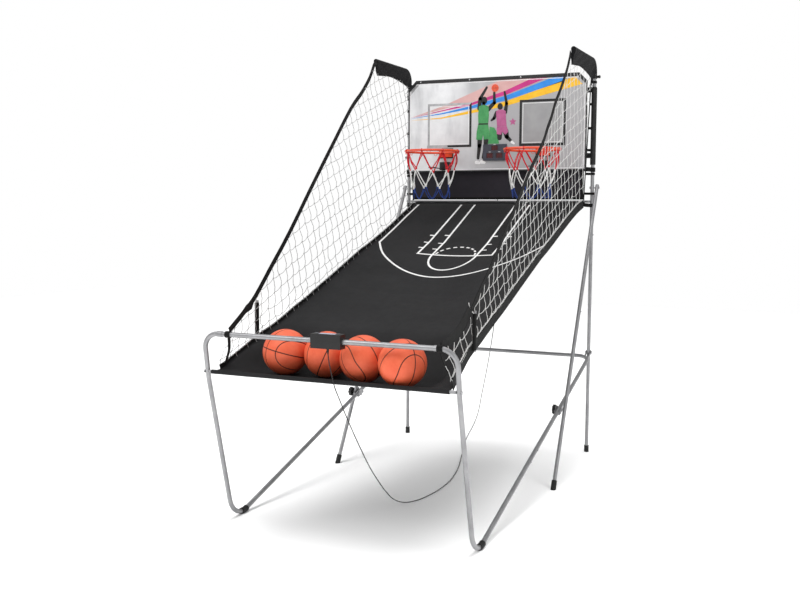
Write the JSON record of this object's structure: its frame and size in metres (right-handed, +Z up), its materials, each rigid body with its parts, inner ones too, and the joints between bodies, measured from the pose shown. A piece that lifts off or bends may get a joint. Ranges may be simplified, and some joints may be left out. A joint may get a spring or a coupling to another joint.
{
  "type": "basketball hoop machine",
  "caption": "Folding two-player basketball arcade game: tube frame, sloping fabric court, side nets, backboard with twin hoops, scorer and loose balls.",
  "frame": {"origin": "on the floor under the middle of the machine's box, the cable left out", "axes": "+Z up, the players stand at -Y and throw towards +Y, +X to their right"},
  "size_m": [1.1303, 1.9497, 2.016],
  "materials": {
    "steel_tube": "satin powder-coated silver grey",
    "bright_steel": "zinc-plated",
    "black_plastic": "moulded, fine grain",
    "black_rubber": "matt",
    "black_fabric": "coated polyester weave",
    "ramp_fabric": "coated polyester weave with printed white court lines",
    "black_webbing": "woven polypropylene webbing",
    "white_net": "knotless braided cord",
    "board_print": "printed sheet, satin",
    "rim_orange": "gloss powder coat",
    "hoop_net": "braided cord in red, white and blue bands",
    "scorer_case": "moulded",
    "display_red": "smoked red window",
    "circuit_green": "solder mask",
    "ball_rubber": "pebbled rubber",
    "cable_black": "smooth PVC",
    "button_grey": "moulded"
  },
  "bodies": {
    "rear_frame": {"rear_leg_l": "steel_tube", "rear_leg_r": "steel_tube", "upright_l": "steel_tube", "upright_r": "steel_tube", "prop_leg_l": "steel_tube", "prop_leg_r": "steel_tube", "foot_caps": "black_rubber", "frame_bolts": "bright_steel", "leg_pins": "bright_steel", "lock_brackets": "steel_tube", "ramp_crossbar": "steel_tube", "ramp_sheet": "ramp_fabric", "back_panel": "black_fabric", "panel_straps": "black_webbing", "side_net_l": "white_net", "side_net_r": "white_net", "net_edge_l": "black_webbing", "net_edge_r": "black_webbing", "net_posts": "steel_tube", "arm_hood_l": "black_fabric", "arm_hood_r": "black_fabric", "backboard_panel": "board_print", "backboard_trim": "black_plastic", "board_brackets": "black_plastic", "rim_l": "rim_orange", "rim_r": "rim_orange", "rim_mounts": "black_plastic", "hoop_net_l": "hoop_net", "hoop_net_r": "hoop_net", "sensor_boxes": "black_plastic", "scorer_housing": "scorer_case", "scorer_back": "scorer_case", "scorer_displays": "display_red", "scorer_board": "circuit_green", "scorer_speaker": "black_plastic", "battery_pack": "black_plastic", "cable": "cable_black"},
    "front_frame": {"front_bar": "steel_tube", "bar_collars": "steel_tube", "front_leg_l": "steel_tube", "front_leg_r": "steel_tube", "foot_pads": "black_rubber", "strut_l": "steel_tube", "strut_r": "steel_tube", "strut_pins": "bright_steel", "rear_u_bar": "steel_tube", "tray_bar": "steel_tube", "tray_bolts": "bright_steel", "pod_base": "scorer_case", "pod_cover": "scorer_case"},
    "sensor_paddle_l": {"sensor_paddle_l": "black_plastic"},
    "sensor_paddle_r": {"sensor_paddle_r": "black_plastic"},
    "clamp_knob_l": {"clamp_knob_l": "black_plastic"},
    "clamp_knob_r": {"clamp_knob_r": "black_plastic"},
    "pod_button_power": {"pod_button_power": "button_grey"},
    "pod_button_mode": {"pod_button_mode": "button_grey"},
    "ball_1": {"ball_1": "ball_rubber"},
    "ball_2": {"ball_2": "ball_rubber"},
    "ball_3": {"ball_3": "ball_rubber"},
    "ball_4": {"ball_4": "ball_rubber"}
  },
  "joints": [
    {"name": "front_frame_fold", "type": "hinge", "parent": "rear_frame", "child": "front_frame", "pos_m": [0, 0.96, 0.523], "axis": [-1, 0, 0], "range_deg": [0, 75]},
    {"name": "sensor_paddle_l_swing", "type": "hinge", "parent": "rear_frame", "child": "sensor_paddle_l", "pos_m": [-0.268, 0.862, 1.472], "axis": [1, 0, 0], "range_deg": [0, 30], "stiffness_Nm_per_rad": 0.4, "springref_deg": -2.86},
    {"name": "sensor_paddle_r_swing", "type": "hinge", "parent": "rear_frame", "child": "sensor_paddle_r", "pos_m": [0.268, 0.862, 1.472], "axis": [1, 0, 0], "range_deg": [0, 30], "stiffness_Nm_per_rad": 0.4, "springref_deg": -2.86},
    {"name": "clamp_knob_l_turn", "type": "hinge", "parent": "rear_frame", "child": "clamp_knob_l", "pos_m": [-0.56, 0.365, 0.33094], "axis": [1, 0, 0], "continuous": true},
    {"name": "clamp_knob_r_turn", "type": "hinge", "parent": "rear_frame", "child": "clamp_knob_r", "pos_m": [0.5, 0.365, 0.33094], "axis": [1, 0, 0], "continuous": true},
    {"name": "power_button_press", "type": "slide", "parent": "front_frame", "child": "pod_button_power", "axis": [0, 0, -1], "range_m": [0, 0.002], "stiffness_N_per_m": 300, "springref_m": -0.001},
    {"name": "mode_button_press", "type": "slide", "parent": "front_frame", "child": "pod_button_mode", "axis": [0, 0, -1], "range_m": [0, 0.002], "stiffness_N_per_m": 300, "springref_m": -0.001},
    {"name": "ball_1_lift", "type": "slide", "parent": "front_frame", "child": "ball_1", "axis": [0, 0, 1], "range_m": [0, 0.25]},
    {"name": "ball_2_lift", "type": "slide", "parent": "front_frame", "child": "ball_2", "axis": [0, 0, 1], "range_m": [0, 0.25]},
    {"name": "ball_3_lift", "type": "slide", "parent": "front_frame", "child": "ball_3", "axis": [0, 0, 1], "range_m": [0, 0.25]},
    {"name": "ball_4_lift", "type": "slide", "parent": "front_frame", "child": "ball_4", "axis": [0, 0, 1], "range_m": [0, 0.25]}
  ]
}
